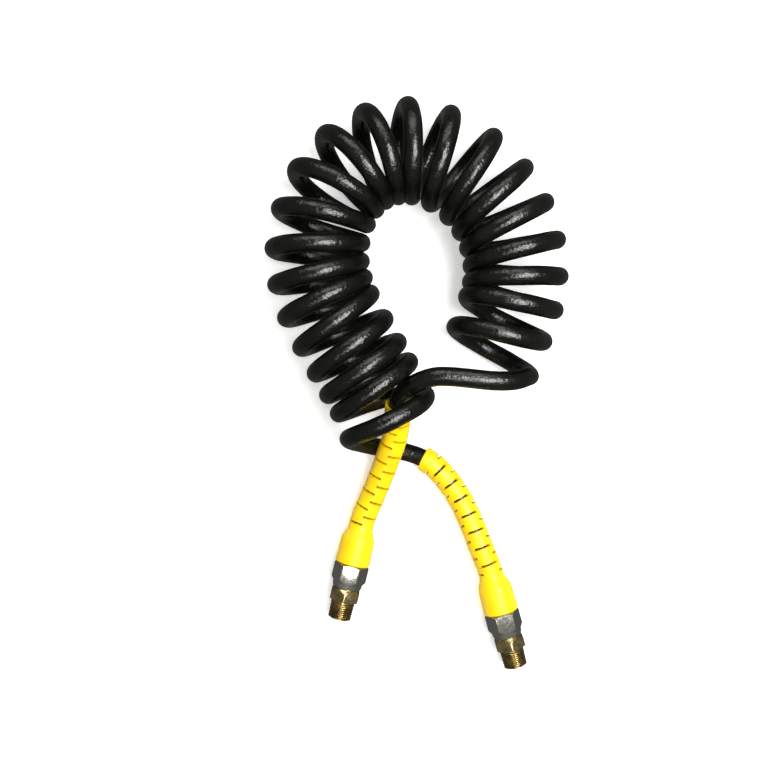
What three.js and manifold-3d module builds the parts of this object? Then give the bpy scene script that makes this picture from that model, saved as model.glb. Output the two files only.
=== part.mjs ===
// Coiled air hose: a polyurethane coil lying in a horseshoe, with a slotted bend-restrictor boot,
// a hex nut and a tapered pipe-thread adapter on each of its two crossed tails.
// Millimetres, +Z up, the floor at Z = 0. The origin is on the floor between the two end fittings.
import * as THREE from 'three';
import { mergeVertices } from 'three/addons/utils/BufferGeometryUtils.js';
import Module from 'manifold-3d';

const wasm = await Module();
wasm.setup();

// Driving dimensions.
const GAP = 0.3; // between pieces that touch
const HOSE_R = 6.35; // 1/2 inch hose
const HOSE_BORE_R = 4.35; // once pushed over the stem
const COIL_R = 36; // outside radius of the coil
const MEAN_R = COIL_R - HOSE_R;
const FITTING_Z = 12.8; // height of a fitting's axis above the floor

// The coil's axis on the floor plan: where it starts, then pieces of one length and one right-hand turn.
const AXIS_START = { x: -26.2, y: 74.6, heading: 103.3 };
const AXIS_PIECES = [
  { length: 30, turn: -17 },
  { length: 58.5, turn: 1.5 },
  { length: 91, turn: 62 },
  { length: 70, turn: 72.5 },
  { length: 119, turn: 82 },
  { length: 16.5, turn: 13.5 },
  { length: 45, turn: 0 },
];
// The coil's pitch at places along its axis: opened at both ends, tightest on the left leg.
const PITCHES = [
  [0, 26.5], [24, 26.5], [29, 14.5], [45, 16], [70, 20.8], [110, 17], [150, 20.9],
  [240, 19.3], [268, 25.6], [300, 20.8], [350, 18.9], [372, 16.1], [390, 19.4], [402, 26],
];
const AXIS_STEP = 0.25;

// The boot, measured back from the mouth of its cup, and its slots.
const BOOT = {
  sleeveR: 8.8, boreR: HOSE_R + GAP, cupR: 12.4, cavityR: 9.3, cupLength: 20.5, flareLength: 6.5, length: 124,
};
const SLOT = { rings: 15, first: 29.5, pitch: 6.2, width: 1.8, halfAngle: 48 };

// The fitting's lengths along its axis, from the mouth of the boot's cup towards the thread.
const STEM_START = -22;
const TAIL_END = STEM_START - GAP;
const NUT = { rear: 0.5, hexEnd: 12.4, front: 17.8, flats: 22, noseR: 9.9, lipR: 5, lipEnd: 2.5, boreR: 8.6 };
const ADAPTER = {
  rear: 6.5, hex: 18.1, rearCone: 3.4, hexEnd: 27.4, thread: 29, end: 40.5, flats: 20, spigotR: 8.3,
};
const THREAD = { pitch: 25.4 / 18, depth: 1.1, largeR: 8.55, taper: 1 / 32 };
const PASSAGE_R = 3.9;
const ROUND = 20; // sides of a turned part
const TAIL_STEPS = { left: 48, right: 56 };

// Where the two fittings lie: the middle of the boot's mouth, and the way the thread points on the plan.
const ENDS = [
  { name: 'left', x: -53.4, y: -21.8, heading: -103.6, slotRoll: -45 },
  { name: 'right', x: 52.5, y: -55.9, heading: -74.9, slotRoll: 0 },
];

// The uncoiled hose, by hand. The left tail goes from the last turn, through the coil's open end, to its boot;
// the right tail goes from its boot, under the left boot, to the first turn.
const LEFT_TAIL = [
  [65, 110.4, 50], [55, 107.8, 60.4], [41.1, 107.5, 65.2], [24.8, 109.1, 65.5], [12.8, 110.2, 65], [2.8, 110.2, 63.6],
  [-5.1, 108, 59.8], [-12.8, 104.1, 54.2], [-19, 98.4, 47], [-21.3, 91.9, 41.2], [-21.8, 84.8, 36],
  [-21.7, 77.5, 31.4], [-23.1, 69.1, 27.4], [-25.6, 61.4, 24.6], [-30.2, 48.1, 20.3], [-35.5, 34.2, 17],
  [-41.1, 20.8, 14.4], [-44.2, 14, 13.4],
];
const RIGHT_TAIL = [
  [39.9, -14.9, 12.9], [36.4, -5.8, 12.6], [32.9, 3.4, 12.1], [28.7, 13.2, 11.5], [23.9, 22.8, 10.9],
  [18.3, 31.7, 10.3], [12.7, 39, 9.9], [7.1, 45.1, 9.6], [0.6, 50.2, 9.3], [-6.6, 53.8, 7.9], [-15.6, 56.5, 6.8],
  [-26.2, 58.4, 6.4], [-35.7, 60.2, 8], [-46.2, 63.1, 15], [-52.6, 65.4, 24.7],
];
const STRAIGHT = [-30, TAIL_END]; // points on the fitting's axis, behind the cup's mouth

const material = (color, roughness, metalness) => new THREE.MeshStandardMaterial({ color, roughness, metalness });
const HOSE_BLACK = material(0x0b0b0b, 0.25, 0);
const BOOT_YELLOW = material(0xf7e600, 0.5, 0);
const ZINC = material(0xb9c0c4, 0.3, 1);
const BRASS = material(0xb08d4a, 0.3, 1);
const STEEL = material(0x9a9c9e, 0.4, 1);
const RUBBER = material(0x151515, 0.7, 0);
const ACETAL = material(0xe8e6df, 0.5, 0);

const part = new THREE.Group();

function addMesh(parent, name, geometry, finish) {
  const mesh = new THREE.Mesh(geometry, finish);
  mesh.name = name;
  parent.add(mesh);
}

// Solids.

function toSolid(geometry) {
  const bare = geometry.clone();
  bare.deleteAttribute('normal');
  bare.deleteAttribute('uv');
  const merged = mergeVertices(bare, 1e-4);
  return new wasm.Manifold(new wasm.Mesh({
    numProp: 3,
    vertProperties: new Float32Array(merged.attributes.position.array),
    triVerts: new Uint32Array(merged.index.array),
  }));
}

function toGeometry(solid) {
  const { vertProperties, triVerts } = solid.getMesh();
  const geometry = new THREE.BufferGeometry();
  geometry.setAttribute('position', new THREE.BufferAttribute(vertProperties, 3));
  geometry.setIndex(new THREE.BufferAttribute(triVerts, 1));
  geometry.computeVertexNormals();
  return geometry;
}

// A turned part about the local Z axis, from a closed outline of [z, radius] pairs that runs from the outside,
// rear to front, then back along the bore.
function turned(outline) {
  const points = [...outline, outline[0]].map(([z, r]) => new THREE.Vector2(r, z));
  return new THREE.LatheGeometry(points, ROUND).rotateX(Math.PI / 2);
}

// A hexagonal bar along the local Z axis, with a flat facing local +Y, or a corner.
function hexBar(flats, from, to, cornerUp = false) {
  const corner = flats / 2 / Math.cos(Math.PI / 6);
  const bar = new THREE.CylinderGeometry(corner, corner, to - from, 6);
  return bar.rotateX(Math.PI / 2).rotateZ(cornerUp ? 0 : Math.PI / 6).translate(0, 0, (from + to) / 2);
}

// A stretch of another curve, between two shares of its length.
class Stretch extends THREE.Curve {
  constructor(curve, from, to) {
    super();
    Object.assign(this, { curve, from, to });
  }

  getPoint(t, target = new THREE.Vector3()) {
    return this.curve.getPointAt(this.from + (this.to - this.from) * t, target);
  }
}

function circle(radius, sides) {
  const corners = Array.from({ length: sides }, (_, i) => (2 * Math.PI * i) / sides);
  return corners.map((a) => new THREE.Vector2(radius * Math.cos(a), radius * Math.sin(a)));
}

function sweep(path, steps, outerR, sides, innerR = 0) {
  const section = new THREE.Shape(circle(outerR, sides));
  if (innerR) section.holes.push(new THREE.Path(circle(innerR, sides)));
  return new THREE.ExtrudeGeometry(section, { steps, extrudePath: path, bevelEnabled: false });
}

// The coil.

function interpolate(table, at) {
  const after = table.findIndex(([place]) => place >= at);
  if (after < 0) return table[table.length - 1][1];
  if (after === 0) return table[0][1];
  const [[a, from], [b, to]] = [table[after - 1], table[after]];
  return from + ((to - from) * (at - a)) / (b - a);
}

// Small steps along the coil's axis: the place, the heading and the number of turns so far.
function axisSteps() {
  const steps = [];
  const total = AXIS_PIECES.reduce((sum, piece) => sum + piece.length, 0);
  let { x, y, heading } = AXIS_START;
  let turns = 0;
  let piece = 0;
  let pieceEnd = AXIS_PIECES[0].length;
  for (let along = 0; along < total; along += AXIS_STEP) {
    if (along >= pieceEnd) {
      piece += 1;
      pieceEnd += AXIS_PIECES[piece].length;
    }
    steps.push({ along, x, y, heading: THREE.MathUtils.degToRad(heading), turns });
    x += Math.cos(THREE.MathUtils.degToRad(heading)) * AXIS_STEP;
    y += Math.sin(THREE.MathUtils.degToRad(heading)) * AXIS_STEP;
    heading -= (AXIS_PIECES[piece].turn / AXIS_PIECES[piece].length) * AXIS_STEP;
    turns += AXIS_STEP / interpolate(PITCHES, along);
  }
  return steps;
}

const AXIS = axisSteps();
const AXIS_LENGTH = (AXIS.length - 1) * AXIS_STEP;

const stepAtTurn = (turn) => AXIS.find((step) => step.turns >= turn) ?? AXIS[AXIS.length - 1];

class CoilAxis extends THREE.Curve {
  getPoint(t, target = new THREE.Vector3()) {
    const place = t * (AXIS.length - 1);
    const before = Math.min(Math.floor(place), AXIS.length - 2);
    const [from, to] = [AXIS[before], AXIS[before + 1]];
    const share = place - before;
    return target.set(from.x + (to.x - from.x) * share, from.y + (to.y - from.y) * share, COIL_R);
  }
}

// A point of the hose's centre line: whole turns are at the outer tip, and the hose goes over the top first.
function coilPoint(turn) {
  const { x, y, heading } = stepAtTurn(turn);
  const angle = 2 * Math.PI * turn;
  const out = MEAN_R * Math.cos(angle);
  return new THREE.Vector3(
    x - Math.sin(heading) * out,
    y + Math.cos(heading) * out,
    COIL_R + MEAN_R * Math.sin(angle),
  );
}

function coilPoints(from, to, perTurn = 16) {
  const count = Math.round((to - from) * perTurn);
  return Array.from({ length: count + 1 }, (_, i) => coilPoint(from + ((to - from) * i) / count));
}

// The coil as one fat tube of its outer size, cut into short lengths so that none of them bends round the gap.
const FAT_FROM = 1.3;
const FAT_TO = 20.2;
const FAT_SECTIONS = 6;
const FAT_GAP = 0.6; // wider, because the lengths fan out on the bend

function addCoil() {
  const start = stepAtTurn(FAT_FROM).along;
  const end = stepAtTurn(FAT_TO).along;
  const length = (end - start) / FAT_SECTIONS;
  const axis = new CoilAxis();
  axis.arcLengthDivisions = AXIS.length - 1;
  for (let i = 0; i < FAT_SECTIONS; i += 1) {
    const from = start + i * length + FAT_GAP / 2;
    const path = new Stretch(axis, from / AXIS_LENGTH, (from + length - FAT_GAP) / AXIS_LENGTH);
    addMesh(part, `coil_section_${i + 1}`, sweep(path, 6, COIL_R, 20), HOSE_BLACK);
  }
}

// The end fittings. Everything on a fitting's axis is built along local Z, from the mouth of the boot's cup.

function endFrame({ x, y, heading }) {
  const angle = THREE.MathUtils.degToRad(heading);
  const nose = new THREE.Vector3(Math.cos(angle), Math.sin(angle), 0);
  const up = new THREE.Vector3(0, 0, 1);
  const frame = new THREE.Matrix4().makeBasis(new THREE.Vector3().crossVectors(up, nose), up, nose);
  return frame.setPosition(x, y, FITTING_Z);
}

function onAxis(end, places) {
  const frame = endFrame(end);
  return places.map((place) => new THREE.Vector3(0, 0, place).applyMatrix4(frame));
}

const TAIL_POINTS = {
  left: [...coilPoints(20.45, 21), ...LEFT_TAIL.map((p) => new THREE.Vector3(...p))],
  right: [...coilPoints(0, 0.82).reverse(), ...RIGHT_TAIL.map((p) => new THREE.Vector3(...p)).reverse()],
};

// The hose's centre line from the coil to its end in the fitting.
function tailPath(end) {
  return new THREE.CatmullRomCurve3([...TAIL_POINTS[end.name], ...onAxis(end, STRAIGHT)]);
}

// The boot's sleeve follows the hose, with two opposite slots in each ring; alternate rings are turned 90 degrees.
function slotCutters(path, length, roll) {
  const depth = BOOT.sleeveR * Math.cos(THREE.MathUtils.degToRad(SLOT.halfAngle));
  const cutters = [];
  for (let ring = 0; ring < SLOT.rings; ring += 1) {
    const share = 1 - (SLOT.first + ring * SLOT.pitch + TAIL_END) / length;
    const along = path.getTangentAt(share);
    const side = new THREE.Vector3().crossVectors(along, new THREE.Vector3(0, 0, 1)).normalize();
    const frame = new THREE.Matrix4().makeBasis(side, new THREE.Vector3().crossVectors(side, along).negate(), along);
    frame.setPosition(path.getPointAt(share));
    for (const half of [0, 180]) {
      const turn = THREE.MathUtils.degToRad(roll + half + (ring % 2) * 90);
      const cutter = new THREE.BoxGeometry(10, 2.4 * BOOT.sleeveR, SLOT.width);
      cutter.translate(depth + 5, 0, 0).rotateZ(turn).applyMatrix4(frame);
      cutters.push(toSolid(cutter));
    }
  }
  return cutters;
}

function addBoot(end, path) {
  const length = path.getLength();
  const sleeve = new Stretch(path, 1 - (BOOT.length + TAIL_END) / length, 1);
  const tube = toSolid(sweep(sleeve, 18, BOOT.sleeveR, 12, BOOT.boreR));
  const cup = toSolid(turned([
    [-BOOT.cupLength - BOOT.flareLength, BOOT.sleeveR], [-BOOT.cupLength, BOOT.cupR], [0, BOOT.cupR],
    [0, BOOT.cavityR], [-BOOT.cupLength - 0.2, BOOT.cavityR], [-BOOT.cupLength - 0.2, BOOT.boreR],
    [-BOOT.cupLength - BOOT.flareLength, BOOT.boreR],
  ]).applyMatrix4(endFrame(end)));
  let boot = tube.add(cup);
  for (const cutter of slotCutters(path, length, end.slotRoll)) boot = boot.subtract(cutter);
  addMesh(part, `${end.name}_boot`, toGeometry(boot), BOOT_YELLOW);
}

function addTail(end, path) {
  addMesh(part, `${end.name}_hose_tail`, sweep(path, TAIL_STEPS[end.name], HOSE_R, 8), HOSE_BLACK);
}

// The end of the hose, pushed over the stem, and the ferrule crimped round it.
function addHoseEnd(group, end) {
  addMesh(group, `${end.name}_hose_end`, turned([
    [STEM_START, HOSE_R], [-1, HOSE_R], [-1, HOSE_BORE_R], [STEM_START, HOSE_BORE_R],
  ]), HOSE_BLACK);
  const outside = [];
  for (const groove of [-17, -12.5, -8]) {
    outside.push([groove - 1.6, 9], [groove - 1.1, 8.6], [groove + 1.1, 8.6], [groove + 1.6, 9]);
  }
  addMesh(group, `${end.name}_ferrule`, turned([
    [-20, 9], ...outside, [-0.6, 9], [-0.6, HOSE_R + GAP], [-20, HOSE_R + GAP],
  ]), STEEL);
}

// The brass stem: barbs in the hose, a flange held inside the nut, and a nose in the adapter's socket.
function addStem(group, end) {
  const barbs = [-21.5, -15.5, -9.5].flatMap((at) => [[at, 3.5], [at + 5.5, 4.05]]);
  addMesh(group, `${end.name}_stem`, turned([
    [STEM_START, 3.3], ...barbs, [-3.5, 3.6], [-0.7, 3.6], [-0.7, 4.6], [2.9, 4.6], [2.9, 8], [4.9, 8], [4.9, 4.6],
    [9, 4.6], [9, 3.5], [11.4, 3.5], [11.4, 4.6], [15.2, 4.6], [15.9, 4], [15.9, 2.6], [STEM_START, 2.6],
  ]), BRASS);
  addMesh(group, `${end.name}_thrust_washer`, turned([[5.2, 8.1], [6.2, 8.1], [6.2, 5], [5.2, 5]]), ACETAL);
  const ring = [0, 1, 2, 3, 4, 5].map((i) => {
    const angle = Math.PI / 6 + (i * Math.PI) / 3;
    return [10.2 + 0.68 * Math.sin(angle), 4.25 + 0.68 * Math.cos(angle)];
  });
  addMesh(group, `${end.name}_o_ring`, turned(ring), RUBBER);
}

// The hexagon is chamfered by the turned outline that it shares with the nose.
function addNut(group, end) {
  const corner = NUT.flats / 2 / Math.cos(Math.PI / 6);
  const outline = toSolid(turned([
    [NUT.rear, 11.2], [NUT.rear + 1, corner], [NUT.hexEnd - 0.6, corner + 0.1], [NUT.hexEnd + 0.6, NUT.flats / 2],
    [NUT.front - 1, NUT.noseR + 0.4], [NUT.front, NUT.noseR], [NUT.front, NUT.boreR],
    [NUT.lipEnd, NUT.boreR], [NUT.lipEnd, NUT.lipR], [NUT.rear, NUT.lipR],
  ]));
  const bar = toSolid(hexBar(NUT.flats, NUT.rear - 1, NUT.front + 1));
  addMesh(group, `${end.name}_nut`, toGeometry(outline.intersect(bar)), ZINC);
}

// The tapered thread, drawn as rings.
function threadOutline() {
  const outline = [];
  const count = Math.floor((ADAPTER.end - ADAPTER.thread) / THREAD.pitch);
  for (let i = 0; i < count; i += 1) {
    const at = ADAPTER.thread + i * THREAD.pitch;
    const crest = THREAD.largeR - (at - ADAPTER.thread) * THREAD.taper;
    outline.push([at, crest - THREAD.depth], [at + THREAD.pitch / 2, crest]);
  }
  return outline;
}

function addAdapter(group, end) {
  const endR = THREAD.largeR - THREAD.depth - (ADAPTER.end - ADAPTER.thread) * THREAD.taper;
  const corner = ADAPTER.flats / 2 / Math.cos(Math.PI / 6);
  const bore = [[ADAPTER.end, PASSAGE_R], [16.5, PASSAGE_R], [16.5, 5], [ADAPTER.rear, 5]];
  const body = toSolid(turned([
    [ADAPTER.rear, ADAPTER.spigotR], [ADAPTER.hex + 1, ADAPTER.spigotR], [ADAPTER.hex + 1, 7.6],
    [ADAPTER.thread - 0.3, 7.6], ...threadOutline(), [ADAPTER.end - 0.6, endR + 0.3], [ADAPTER.end, endR], ...bore,
  ]));
  const collar = toSolid(turned([
    [ADAPTER.hex, 9.2], [ADAPTER.hex + ADAPTER.rearCone, corner], [ADAPTER.hexEnd - 0.8, corner], [ADAPTER.hexEnd, 10],
    [ADAPTER.hexEnd, 5], [ADAPTER.hex, 5],
  ])).intersect(toSolid(hexBar(ADAPTER.flats, ADAPTER.hex - 1, ADAPTER.hexEnd + 1, true)));
  addMesh(group, `${end.name}_adapter`, toGeometry(body.add(collar)), BRASS);
}

function addEnd(end) {
  const path = tailPath(end);
  addTail(end, path);
  addBoot(end, path);
  const group = new THREE.Group();
  endFrame(end).decompose(group.position, group.quaternion, group.scale);
  addHoseEnd(group, end);
  addStem(group, end);
  addNut(group, end);
  addAdapter(group, end);
  part.add(group);
}

addCoil();
ENDS.forEach(addEnd);

export default part;
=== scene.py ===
"""The looks of a coiled air hose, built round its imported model. Metres, +Z up, the floor at Z = 0.

The hose is one curve from fitting to fitting: a short straight, the left tail, the coil, the right tail and
another short straight. Boots, nuts and adapters are meshes built about each fitting's axis.
"""

import bisect
import math

import bpy
from mathutils import Matrix, Vector


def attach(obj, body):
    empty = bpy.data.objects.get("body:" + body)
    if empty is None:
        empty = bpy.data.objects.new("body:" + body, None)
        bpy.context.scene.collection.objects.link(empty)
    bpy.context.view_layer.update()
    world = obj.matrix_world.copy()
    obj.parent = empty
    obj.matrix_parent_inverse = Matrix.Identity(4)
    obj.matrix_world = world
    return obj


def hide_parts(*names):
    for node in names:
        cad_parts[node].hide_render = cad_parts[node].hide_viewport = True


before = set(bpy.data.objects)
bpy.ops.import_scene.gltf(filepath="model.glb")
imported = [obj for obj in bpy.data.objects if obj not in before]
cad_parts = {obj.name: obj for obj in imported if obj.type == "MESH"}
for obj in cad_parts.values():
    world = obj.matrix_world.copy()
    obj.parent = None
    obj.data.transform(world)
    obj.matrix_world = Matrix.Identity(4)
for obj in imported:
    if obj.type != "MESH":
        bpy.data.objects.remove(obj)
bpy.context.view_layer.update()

# Driving dimensions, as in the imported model.
HOSE_R = 0.00635
COIL_R = 0.036
MEAN_R = COIL_R - HOSE_R
FITTING_Z = 0.0128
TAIL_END = 0.0223  # from the mouth of the boot's cup back to the hose's end

# The coil's axis: where it starts, then pieces of one length and one right-hand turn, in degrees.
AXIS_START = (-0.0262, 0.0746, 103.3)
AXIS_PIECES = (
    (0.03, -17), (0.0585, 1.5), (0.091, 62), (0.07, 72.5), (0.119, 82), (0.0165, 13.5), (0.045, 0),
)
# The coil's pitch at places along its axis.
PITCHES = (
    (0, 0.0265), (0.024, 0.0265), (0.029, 0.0145), (0.045, 0.016), (0.070, 0.0208), (0.110, 0.017),
    (0.150, 0.0209), (0.240, 0.0193), (0.268, 0.0256), (0.300, 0.0208), (0.350, 0.0189), (0.372, 0.0161),
    (0.390, 0.0194), (0.402, 0.026),
)
# How far the top of a turn leans forward along the axis, and its bottom back, at places along the axis.
LEANS = (
    (0, 0), (0.060, -0.002), (0.120, -0.005), (0.155, -0.004), (0.175, -0.0005), (0.215, 0.001), (0.240, 0),
    (0.375, 0), (0.400, 0.0022), (0.430, 0.0022),
)
AXIS_STEP = 0.00025
COIL_END = 21  # turns
PER_TURN = 16  # points of the coil
SPAN_PARTS = 5  # of the smooth line, between two points

# Each fitting: the middle of its boot's mouth on the plan, the way its thread points, the roll of its boot.
ENDS = {
    "left": (-0.0534, -0.0218, -103.6, -45),
    "right": (0.0525, -0.0559, -74.9, 0),
}
LEFT_TAIL = (
    (0.0650, 0.1104, 0.0500), (0.0550, 0.1078, 0.0604), (0.0411, 0.1075, 0.0652),
    (0.0248, 0.1091, 0.0655), (0.0128, 0.1102, 0.0650), (0.0028, 0.1102, 0.0636),
    (-0.0051, 0.1080, 0.0598), (-0.0128, 0.1041, 0.0542), (-0.0190, 0.0984, 0.0470),
    (-0.0213, 0.0919, 0.0412), (-0.0218, 0.0848, 0.0360), (-0.0217, 0.0775, 0.0314),
    (-0.0231, 0.0691, 0.0274), (-0.0256, 0.0614, 0.0246), (-0.0302, 0.0481, 0.0203),
    (-0.0355, 0.0342, 0.0170), (-0.0411, 0.0208, 0.0144), (-0.0442, 0.0140, 0.0134),
)
RIGHT_TAIL = (
    (0.0399, -0.0149, 0.0129), (0.0364, -0.0058, 0.0126), (0.0329, 0.0034, 0.0121),
    (0.0287, 0.0132, 0.0115), (0.0239, 0.0228, 0.0109), (0.0183, 0.0317, 0.0103),
    (0.0127, 0.0390, 0.0099), (0.0071, 0.0451, 0.0096), (0.0006, 0.0502, 0.0093),
    (-0.0066, 0.0538, 0.0079), (-0.0156, 0.0565, 0.0068), (-0.0262, 0.0584, 0.0064),
    (-0.0357, 0.0602, 0.0080), (-0.0462, 0.0631, 0.0150), (-0.0526, 0.0654, 0.0247),
)
STRAIGHT = (TAIL_END, 0.030)  # points on the fitting's axis, back from the cup's mouth

# The boot, measured back from the mouth of its cup.
BOOT_LENGTH = 0.124
BOOT_EDGE = 0.0004  # bevels of its two ends, outside
BORE_EDGE = 0.0003  # and inside
SLEEVE_R = 0.0088
BOOT_BORE_R = 0.00665
CUP_R = 0.0124
CUP_REAR_R = 0.01205
CAVITY_R = 0.0093
CUP_LENGTH = 0.0155
FLARE_END = 0.0265
CAVITY_END = 0.0206
SOFT_EDGE = 0.0002  # rounding of its other edges
SLOT_RINGS = 15
SLOT_FIRST = 0.0295
SLOT_PITCH = 0.0062
SLOT_WIDTH = 0.0017

NUT_FLATS = 0.022
ADAPTER_FLATS = 0.020
THREAD_START = 0.029
ADAPTER_END = 0.0405
THREAD_PITCH = 0.0254 / 18
THREAD_DEPTH = 0.0011
THREAD_LARGE_R = 0.00855
THREAD_TAPER = 1 / 32  # of the radius


# ---------------------------------------------------------------- camera, floor and light

CAMERA_PLACE = (-0.0302, 0.1048, 0.600)
CAMERA_SEES = 0.5612  # width of the floor in the picture
SENSOR = 36.0


def make_camera():
    data = bpy.data.cameras.new("camera")
    data.sensor_width = SENSOR
    data.lens = SENSOR * CAMERA_PLACE[2] / CAMERA_SEES
    data.clip_start = 0.01
    camera = bpy.data.objects.new("camera", data)
    camera.location = CAMERA_PLACE
    bpy.context.collection.objects.link(camera)
    bpy.context.scene.camera = camera


# ---------------------------------------------------------------- the hose's route


def interpolate(table, at):
    places = [place for place, _ in table]
    after = bisect.bisect_left(places, at)
    if after == 0:
        return table[0][1]
    if after == len(table):
        return table[-1][1]
    (a, start), (b, end) = table[after - 1], table[after]
    return start + (end - start) * (at - a) / (b - a)


def axis_steps():
    """Small steps along the coil's axis: (turns so far, distance, x, y, heading in degrees)."""
    x, y, heading = AXIS_START
    along = turns = 0.0
    steps = []
    for length, turn in AXIS_PIECES:
        for _ in range(round(length / AXIS_STEP)):
            steps.append((turns, along, x, y, heading))
            x += math.cos(math.radians(heading)) * AXIS_STEP
            y += math.sin(math.radians(heading)) * AXIS_STEP
            heading -= turn / length * AXIS_STEP
            turns += AXIS_STEP / interpolate(PITCHES, along)
            along += AXIS_STEP
    return steps


AXIS = axis_steps()
AXIS_TURNS = [step[0] for step in AXIS]


def coil_point(turn):
    """A point of the coil's centre line.

    Whole turns are at the outer tip, and the hose goes over the top first.
    """
    place = min(bisect.bisect_left(AXIS_TURNS, turn), len(AXIS) - 1)
    _, along, x, y, heading = AXIS[place]
    angle = math.tau * turn
    out = MEAN_R * math.cos(angle)
    lean = interpolate(LEANS, along) * math.sin(angle)
    cos_h, sin_h = math.cos(math.radians(heading)), math.sin(math.radians(heading))
    height = COIL_R + MEAN_R * math.sin(angle)
    return Vector((x - sin_h * out + cos_h * lean, y + cos_h * out + sin_h * lean, height))


def end_frame(side):
    """The frame of a fitting: local Z from the mouth of the boot's cup towards the thread, local Y up."""
    x, y, heading, _ = ENDS[side]
    nose = Vector((math.cos(math.radians(heading)), math.sin(math.radians(heading)), 0))
    up = Vector((0, 0, 1))
    across = up.cross(nose)
    matrix = Matrix((across, up, nose)).transposed().to_4x4()
    matrix.translation = (x, y, FITTING_Z)
    return matrix


def behind(side, distances):
    matrix = end_frame(side)
    return [matrix @ Vector((0, 0, -distance)) for distance in distances]


def smooth_line(points, parts):
    """A centripetal Catmull-Rom curve through the points, with each span cut into equal parts."""
    padded = [2 * points[0] - points[1], *points, 2 * points[-1] - points[-2]]
    line = []
    for p0, p1, p2, p3 in zip(padded, padded[1:], padded[2:], padded[3:]):
        d0, d1, d2 = (math.sqrt((b - a).length) for a, b in ((p0, p1), (p1, p2), (p2, p3)))
        start = d1 * ((p1 - p0) / d0 - (p2 - p0) / (d0 + d1) + (p2 - p1) / d1)
        end = d1 * ((p2 - p1) / d1 - (p3 - p1) / (d1 + d2) + (p3 - p2) / d2)
        for i in range(parts):
            t = i / parts
            line.append(
                (2 * t**3 - 3 * t**2 + 1) * p1 + (t**3 - 2 * t**2 + t) * start
                + (3 * t**2 - 2 * t**3) * p2 + (t**3 - t**2) * end
            )
    return [*line, points[-1]]


def hose_line():
    count = round(COIL_END * PER_TURN)
    coil = [coil_point(COIL_END * (1 - i / count)) for i in range(count + 1)]
    left = [Vector(point) for point in reversed(LEFT_TAIL)]
    right = [Vector(point) for point in reversed(RIGHT_TAIL)]
    points = [*behind("left", STRAIGHT), *left, *coil, *right, *reversed(behind("right", STRAIGHT))]
    return smooth_line(points, SPAN_PARTS)


def line_length(line):
    return sum((b - a).length for a, b in zip(line, line[1:]))


# ---------------------------------------------------------------- materials


def new_material(name, color, roughness, metallic=0.0, **sockets):
    """A Principled material. The sockets are named as in the shader, with _ for a space."""
    material = bpy.data.materials.new(name)
    material.use_nodes = True
    shader = material.node_tree.nodes["Principled BSDF"]
    shader.inputs["Base Color"].default_value = (*color, 1)
    shader.inputs["Roughness"].default_value = roughness
    shader.inputs["Metallic"].default_value = metallic
    for socket, value in sockets.items():
        shader.inputs[socket.replace("_", " ")].default_value = value
    return material


def noise(material, scale, detail=2.0, stretch=(1, 1, 1), coordinates="Object"):
    nodes, links = material.node_tree.nodes, material.node_tree.links
    place = nodes.new("ShaderNodeTexCoord")
    mapping = nodes.new("ShaderNodeMapping")
    mapping.inputs["Scale"].default_value = stretch
    texture = nodes.new("ShaderNodeTexNoise")
    texture.inputs["Scale"].default_value = scale
    texture.inputs["Detail"].default_value = detail
    links.new(place.outputs[coordinates], mapping.inputs["Vector"])
    links.new(mapping.outputs["Vector"], texture.inputs["Vector"])
    return texture.outputs["Fac"]


def vary(material, source, socket, low, high):
    """Drives a shader socket from low to high as the source goes from 0.3 to 0.7."""
    nodes, links = material.node_tree.nodes, material.node_tree.links
    ramp = nodes.new("ShaderNodeValToRGB")
    ramp.color_ramp.elements[0].position = 0.3
    ramp.color_ramp.elements[1].position = 0.7
    ramp.color_ramp.elements[0].color = (*low, 1)
    ramp.color_ramp.elements[1].color = (*high, 1)
    links.new(source, ramp.inputs["Fac"])
    links.new(ramp.outputs["Color"], nodes["Principled BSDF"].inputs[socket])


def add_bump(material, source, depth):
    """Adds a bump of a real depth, on top of those that are there."""
    nodes, links = material.node_tree.nodes, material.node_tree.links
    normal = nodes["Principled BSDF"].inputs["Normal"]
    bump = nodes.new("ShaderNodeBump")
    bump.inputs["Strength"].default_value = 1.0
    bump.inputs["Distance"].default_value = depth
    if normal.is_linked:
        links.new(normal.links[0].from_socket, bump.inputs["Normal"])
    links.new(source, bump.inputs["Height"])
    links.new(bump.outputs["Normal"], normal)


def grey(value):
    return (value, value, value)


def hose_material():
    """Extruded black polyurethane: glossy, with a slow waviness that breaks up its highlights."""
    material = new_material("black_polyurethane", (0.004, 0.004, 0.0035), 0.14, IOR=1.5)
    vary(material, noise(material, 45), "Base Color", (0.002, 0.002, 0.0015), (0.005, 0.005, 0.004))
    vary(material, noise(material, 160, 3), "Roughness", grey(0.09), grey(0.22))
    add_bump(material, noise(material, 190, 3), 0.00045)
    add_bump(material, noise(material, 600, 3), 0.00038)
    add_bump(material, noise(material, 1400, 2), 0.00003)
    return material


def boot_material():
    """Moulded yellow elastomer with a satin skin."""
    material = new_material("yellow_elastomer", (0.93, 0.63, 0.0), 0.42, IOR=1.45)
    vary(material, noise(material, 60, 3), "Base Color", (0.91, 0.57, 0.0), (0.94, 0.68, 0.0))
    vary(material, noise(material, 300, 2), "Roughness", grey(0.36), grey(0.5))
    add_bump(material, noise(material, 900, 4), 0.00004)
    return material


def metal_material(name, dark, bright, roughness, turned_depth):
    """A turned metal part: colour by slow noise, and fine rings round its axis."""
    material = new_material(name, bright, roughness, 1.0)
    vary(material, noise(material, 120, 4), "Base Color", dark, bright)
    vary(material, noise(material, 500, 3), "Roughness", grey(roughness * 0.7), grey(roughness * 1.4))
    add_bump(material, noise(material, 1.0, 3, (2, 3500, 1), "UV"), turned_depth)
    return material


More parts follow.
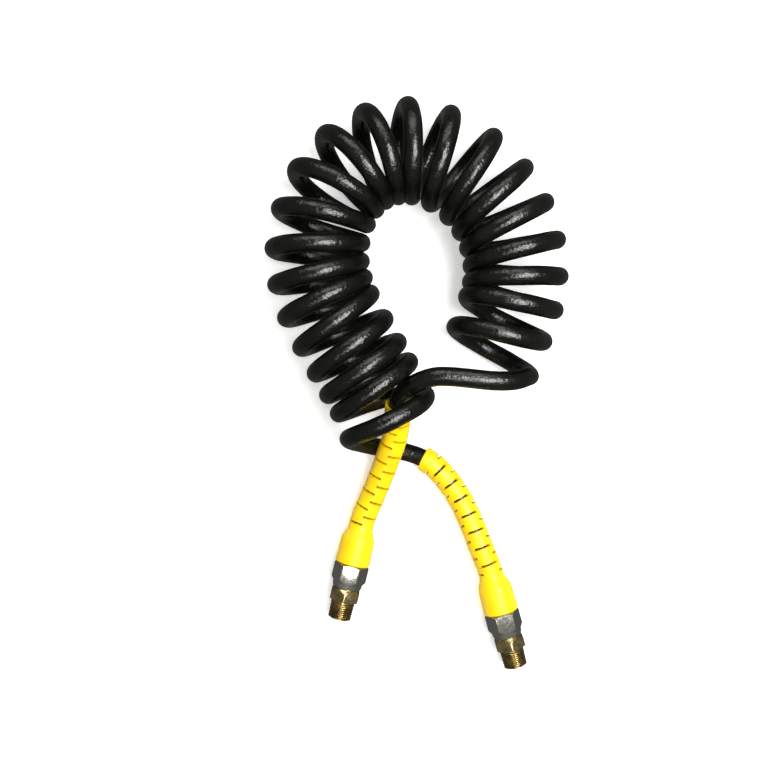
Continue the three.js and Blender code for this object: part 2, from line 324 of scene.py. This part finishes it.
def plain_material(name, low, high, roughness, metallic, scale, depth):
    material = new_material(name, high, roughness, metallic)
    vary(material, noise(material, scale, 3), "Base Color", low, high)
    add_bump(material, noise(material, scale * 4, 3), depth)
    return material


# ---------------------------------------------------------------- meshes


SHARP_ANGLE = math.radians(35)


def add_object(name, vertices, faces, material, uvs=None):
    mesh = bpy.data.meshes.new(name)
    mesh.from_pydata(vertices, [], faces)
    mesh.materials.append(material)
    if uvs:
        layer = mesh.uv_layers.new(name="UVMap")
        for loop in mesh.loops:
            layer.data[loop.index].uv = uvs[loop.vertex_index]
    for polygon in mesh.polygons:
        polygon.use_smooth = True
    mesh.set_sharp_from_angle(angle=SHARP_ANGLE)
    mesh.validate()
    shape = bpy.data.objects.new(name, mesh)
    bpy.context.collection.objects.link(shape)
    return shape


def holed_shell(name, outer, inner, is_hole, material):
    """A tube wall between two grids of points, closed round the tube, open along it, with cells left out."""
    rows, columns = len(outer), len(outer[0])
    vertices = [p for row in (*outer, *inner) for p in row]

    def corner(layer, i, j):
        return (layer * rows + i) * columns + j % columns

    faces = []
    for i in range(-1, rows):
        for j in range(columns):
            solid = 0 <= i < rows - 1 and not is_hole(i, j)
            if solid:
                cell = [(i, j), (i, j + 1), (i + 1, j + 1), (i + 1, j)]
                faces.append([corner(0, *place) for place in cell])
                faces.append([corner(1, *place) for place in (cell[0], *cell[:0:-1])])
            next_solid = 0 <= i + 1 < rows - 1 and not is_hole(i + 1, j)
            if solid != next_solid:
                edge = [(i + 1, j), (i + 1, j + 1)]
                faces.append(wall(edge if solid else edge[::-1], corner))
            if 0 <= i < rows - 1 and solid != (not is_hole(i, (j + 1) % columns)):
                edge = [(i + 1, j + 1), (i, j + 1)]
                faces.append(wall(edge[::-1] if solid else edge, corner))
    return add_object(name, vertices, faces, material)


def wall(edge, corner):
    """The face that joins an edge of the outer grid to the same edge of the inner one."""
    a, b = edge
    return [corner(0, *b), corner(0, *a), corner(1, *a), corner(1, *b)]


def ring_solid(name, matrix, rows, angles, material):
    """A solid ring about local Z. Each row gives, for each angle, its (place along Z, radius)."""
    count = len(angles)
    vertices, uvs = [], []
    for row in rows:
        for angle, (z, r) in zip(angles, row):
            vertices.append(matrix @ Vector((r * math.cos(angle), r * math.sin(angle), z)))
            uvs.append((angle / math.tau, z))
    faces = []
    for i in range(len(rows)):
        after = (i + 1) % len(rows)
        for j in range(count):
            k = (j + 1) % count
            faces.append([i * count + j, i * count + k, after * count + k, after * count + j])
    return add_object(name, vertices, faces, material, uvs)


# ---------------------------------------------------------------- the hose


def make_hose(line, material):
    data = bpy.data.curves.new("air_hose", "CURVE")
    data.dimensions = "3D"
    data.bevel_depth = HOSE_R
    data.bevel_resolution = 10
    data.use_fill_caps = True
    spline = data.splines.new("POLY")
    spline.points.add(len(line) - 1)
    for point, place in zip(spline.points, line):
        point.co = (*place, 1)
    spline.use_smooth = True
    data.materials.append(material)
    hose = bpy.data.objects.new("air_hose", data)
    bpy.context.collection.objects.link(hose)
    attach(hose, "hose")
    coil_sections = [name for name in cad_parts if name.startswith("coil_section_")]
    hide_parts(*coil_sections, "left_hose_tail", "right_hose_tail")
    tuple(line[0])
    line_length(line)


# ---------------------------------------------------------------- the boots


class Route:
    """A line with a frame at any distance along it: local Z back towards its start, local Y up."""

    def __init__(self, line):
        self.line = line
        self.places = [0.0]
        for a, b in zip(line, line[1:]):
            self.places.append(self.places[-1] + (b - a).length)

    def point(self, distance):
        after = max(1, min(bisect.bisect_left(self.places, distance), len(self.line) - 1))
        a, b = self.places[after - 1], self.places[after]
        return self.line[after - 1].lerp(self.line[after], (distance - a) / (b - a))

    def frame(self, distance, reach=0.002):
        back = (self.point(max(0, distance - reach)) - self.point(distance + reach)).normalized()
        across = Vector((0, 0, 1)).cross(back).normalized()
        matrix = Matrix((across, back.cross(across), back)).transposed().to_4x4()
        matrix.translation = self.point(distance)
        return matrix


QUADRANT = [-42 + 7 * i for i in range(13)]  # degrees; a slot reaches one line past them on both sides


def boot_rows():
    """(distance, outer radius, inner radius, slot ring that starts here or None)."""
    rows = [
        (0, CUP_R - BOOT_EDGE, CAVITY_R + BORE_EDGE, None),
        (BOOT_EDGE, CUP_R, CAVITY_R, None),
        (CUP_LENGTH, CUP_REAR_R, CAVITY_R, None),
    ]
    flare_parts = 10
    for i in range(1, flare_parts + 1):
        share = i / flare_parts
        distance = CUP_LENGTH + (FLARE_END - CUP_LENGTH) * share
        outer = CUP_REAR_R + (SLEEVE_R - CUP_REAR_R) * share * share * (3 - 2 * share)
        rows.append((distance, outer, CAVITY_R if distance < CAVITY_END else BOOT_BORE_R, None))
    for ring in range(SLOT_RINGS):
        middle = SLOT_FIRST + ring * SLOT_PITCH
        rows.append((middle - SLOT_WIDTH / 2, SLEEVE_R, BOOT_BORE_R, ring))
        rows.append((middle + SLOT_WIDTH / 2, SLEEVE_R, BOOT_BORE_R, None))
        rows.append((middle + SLOT_PITCH / 2, SLEEVE_R, BOOT_BORE_R, None))
    rows.append((BOOT_LENGTH - BOOT_EDGE, SLEEVE_R, BOOT_BORE_R, None))
    rows.append((BOOT_LENGTH, SLEEVE_R - BOOT_EDGE, BOOT_BORE_R + BORE_EDGE, None))
    return rows


def make_boot(side, line, material):
    """A sleeve along the hose, with two opposite slots in each ring, alternate rings a quarter turn apart."""
    roll = ENDS[side][3]
    mouth = behind(side, [0.0, TAIL_END / 2])
    route = Route([*mouth, *line])
    angles = [math.radians(roll + 90 * quadrant + offset) for quadrant in range(4) for offset in QUADRANT]
    rows = boot_rows()
    outer, inner = [], []
    for distance, outer_r, inner_r, _ in rows:
        matrix = route.frame(distance)
        for grid, r in ((outer, outer_r), (inner, inner_r)):
            grid.append([matrix @ Vector((r * math.cos(a), r * math.sin(a), 0)) for a in angles])

    def is_hole(i, j):
        ring = rows[i][3]
        if ring is None:
            return False
        quadrant, line_number = divmod(j, len(QUADRANT))
        on_slot = quadrant % 2 == ring % 2
        return on_slot or line_number == len(QUADRANT) - 1

    boot = holed_shell(f"{side}_slotted_boot", outer, inner, is_hole, material)
    bevel = boot.modifiers.new("soft edges", "BEVEL")
    bevel.width = SOFT_EDGE
    bevel.segments = 2
    bevel.limit_method = "ANGLE"
    bevel.angle_limit = math.radians(50)
    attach(boot, "hose")
    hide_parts(f"{side}_boot")


# ---------------------------------------------------------------- the nuts and adapters

HEX_OFFSETS = (-30, -28.8, -27, -24, -18, -12, -6, 0, 6, 12, 18, 24, 27, 28.8)  # degrees from a flat's middle
CORNER_ROUND = 0.00022
EDGE_ROUND = 0.00012


def hex_angles(first_flat):
    """The angles at which a hexagon is drawn. One of its flats faces first_flat, in degrees; 90 is up."""
    return [math.radians(first_flat + 60 * flat + offset) for flat in range(6) for offset in HEX_OFFSETS]


def hex_radii(flats):
    """The hexagon's radius at each of hex_angles, with its corners a little rounded."""
    corner = flats / 2 / math.cos(math.radians(30)) - CORNER_ROUND
    one_flat = [min(flats / 2 / math.cos(math.radians(offset)), corner) for offset in HEX_OFFSETS]
    return one_flat * 6


def hex_rows(flats, rear_cone, front_cone):
    """The rows of a hexagon whose ends are cut by two cones, each given by its end face and its far end."""
    radii = hex_radii(flats)

    def crossing(cone, r):
        (z0, r0), (z1, r1) = cone
        return z0 + (z1 - z0) * (r - r0) / (r1 - r0)

    def cone_radius(cone, z):
        (z0, r0), (z1, r1) = cone
        return r0 + (r1 - r0) * (z - z0) / (z1 - z0)

    rear = [crossing(rear_cone, r) for r in radii]
    front = [crossing(front_cone, r) for r in radii]
    return [
        [(z - EDGE_ROUND, cone_radius(rear_cone, z - EDGE_ROUND)) for z in rear],
        [(z + EDGE_ROUND, r) for z, r in zip(rear, radii)],
        [(z - EDGE_ROUND, r) for z, r in zip(front, radii)],
        [(z + EDGE_ROUND, cone_radius(front_cone, z + EDGE_ROUND)) for z in front],
    ]


def round_rows(angles, outline):
    return [[point for _ in angles] for point in outline]


def make_nut(side, material):
    angles = hex_angles(90)
    rear_cone = ((0.0005, 0.0104), (0.0020, 0.0129))
    front_cone = ((0.0140, 0.01085), (0.0112, 0.0130))
    rows = [
        *round_rows(angles, [(0.0006, 0.0052), (0.0005, 0.0054), (0.0005, 0.0103)]),
        *hex_rows(NUT_FLATS, rear_cone, front_cone),
        *round_rows(angles, [
            (0.0141, 0.01080), (0.0144, 0.01072), (0.0170, 0.01032), (0.0176, 0.0101), (0.0178, 0.0098),
            (0.0178, 0.0087), (0.0177, 0.0086), (0.0025, 0.0086), (0.0025, 0.0050), (0.0007, 0.0050),
        ]),
    ]
    nut = ring_solid(f"{side}_hex_nut", end_frame(side), rows, angles, material)
    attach(nut, f"{side}_swivel")
    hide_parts(f"{side}_nut")


def thread_rows(angles):
    """The taper, cut by a right-hand helix that fades in over a turn and out over 0.7 of a turn."""
    parts = 10
    end_chamfer = 0.0006
    fade_out = 0.7
    count = round((ADAPTER_END - end_chamfer - THREAD_START) / THREAD_PITCH * parts)
    rows = []
    for i in range(count + 1):
        along = i / parts * THREAD_PITCH
        fade = min(1, along / THREAD_PITCH, (count - i) / parts / fade_out)
        row = []
        for angle in angles:
            phase = (along / THREAD_PITCH - angle / math.tau) % 1
            depth = THREAD_DEPTH * min(1, max(0, 1.15 - abs(4 * phase - 2) * 0.62)) * fade
            row.append((THREAD_START + along, THREAD_LARGE_R - along * THREAD_TAPER - depth))
        rows.append(row)
    return rows


def make_adapter(side, material):
    angles = hex_angles(60)
    rear_cone = ((0.0181, 0.0092), (0.0220, 0.0118))
    front_cone = ((0.0274, 0.0098), (0.0262, 0.0119))
    rows = [
        *round_rows(angles, [
            (0.0065, 0.0050), (0.0065, 0.0080), (0.0068, 0.0083), (0.0181, 0.0083), (0.0181, 0.0091),
        ]),
        *hex_rows(ADAPTER_FLATS, rear_cone, front_cone),
        *round_rows(angles, [(0.0274, 0.0097), (0.0274, 0.0080), (0.0276, 0.0077), (0.0287, 0.0077)]),
        *thread_rows(angles),
        *round_rows(angles, [
            (0.0402, 0.0073), (0.0405, 0.0070), (0.0405, 0.0042), (0.0402, 0.0039), (0.0165, 0.0039),
            (0.0165, 0.0050),
        ]),
    ]
    adapter = ring_solid(f"{side}_pipe_adapter", end_frame(side), rows, angles, material)
    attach(adapter, f"{side}_swivel")
    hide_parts(f"{side}_adapter")


# ---------------------------------------------------------------- stage


def make_floor():
    size = 3.0
    mesh = bpy.data.meshes.new("floor")
    corners = [(-size, -size, 0), (size, -size, 0), (size, size, 0), (-size, size, 0)]
    mesh.from_pydata(corners, [], [(0, 1, 2, 3)])
    mesh.materials.append(new_material("pale_floor", (0.9, 0.9, 0.9), 0.9, Emission_Strength=0.45))
    floor = bpy.data.objects.new("floor", mesh)
    bpy.context.collection.objects.link(floor)
    floor.visible_glossy = False


def add_area_light(name, place, target, size, power, color=(1, 1, 1)):
    data = bpy.data.lights.new(name, "AREA")
    data.shape = "RECTANGLE"
    data.size, data.size_y = size
    data.energy = power
    data.color = color
    light = bpy.data.objects.new(name, data)
    light.location = place
    light.rotation_euler = (Vector(target) - Vector(place)).to_track_quat("-Z", "Y").to_euler()
    bpy.context.collection.objects.link(light)


def make_world():
    """A dim sky, darkest below the horizon, where reflections look past the floor."""
    world = bpy.data.worlds.new("studio")
    world.use_nodes = True
    nodes, links = world.node_tree.nodes, world.node_tree.links
    place = nodes.new("ShaderNodeTexCoord")
    split = nodes.new("ShaderNodeSeparateXYZ")
    ramp = nodes.new("ShaderNodeValToRGB")
    ramp.color_ramp.elements[0].position = 0.0
    ramp.color_ramp.elements[0].color = (0.11, 0.11, 0.105, 1)
    ramp.color_ramp.elements[1].position = 0.8
    ramp.color_ramp.elements[1].color = (0.22, 0.22, 0.19, 1)
    links.new(place.outputs["Generated"], split.inputs["Vector"])
    links.new(split.outputs["Z"], ramp.inputs["Fac"])
    links.new(ramp.outputs["Color"], nodes["Background"].inputs["Color"])
    bpy.context.scene.world = world


def make_stage():
    """The floor, the sky, a wide key, a fill and a small card that the left nut's top flat mirrors."""
    make_floor()
    make_world()
    middle = (-0.01, 0.15, 0.03)
    left_nut = (-0.055, -0.04, 0.02)
    warm = (1, 0.96, 0.88)
    add_area_light("key", (0.24, 0.10, 0.72), middle, (0.5, 0.36), 8.5)
    add_area_light("nut card", (-0.085, -0.24, 0.72), left_nut, (0.16, 0.20), 0.7, warm)
    add_area_light("fill", (-0.10, 0.95, 0.75), middle, (1.0, 0.5), 4.5)
    bpy.context.scene.view_settings.view_transform = "Standard"


# ---------------------------------------------------------------- everything

make_camera()

BLACK = hose_material()
YELLOW = boot_material()
ZINC = metal_material("zinc_plate", (0.62, 0.62, 0.59), (0.70, 0.70, 0.66), 0.19, 0.000006)
BRASS = metal_material("machined_brass", (0.32, 0.24, 0.10), (0.74, 0.61, 0.33), 0.24, 0.00003)
STEEL = plain_material("crimped_steel", grey(0.38), grey(0.52), 0.4, 1.0, 200, 0.00003)
ACETAL = plain_material("acetal", (0.72, 0.70, 0.64), (0.84, 0.82, 0.76), 0.45, 0.0, 250, 0.00002)
NITRILE = plain_material("nitrile", grey(0.012), grey(0.03), 0.6, 0.0, 300, 0.00002)
CARRIED_OVER = {
    "hose_end": BLACK, "ferrule": STEEL, "stem": BRASS, "thrust_washer": ACETAL, "o_ring": NITRILE,
}

line = hose_line()
make_hose(line, BLACK)
for side, hose_from_end in (("left", line), ("right", line[::-1])):
    make_boot(side, hose_from_end, YELLOW)
    make_nut(side, ZINC)
    make_adapter(side, BRASS)
    for piece, material in CARRIED_OVER.items():
        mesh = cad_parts[f"{side}_{piece}"].data
        mesh.materials.clear()
        mesh.materials.append(material)
make_stage()
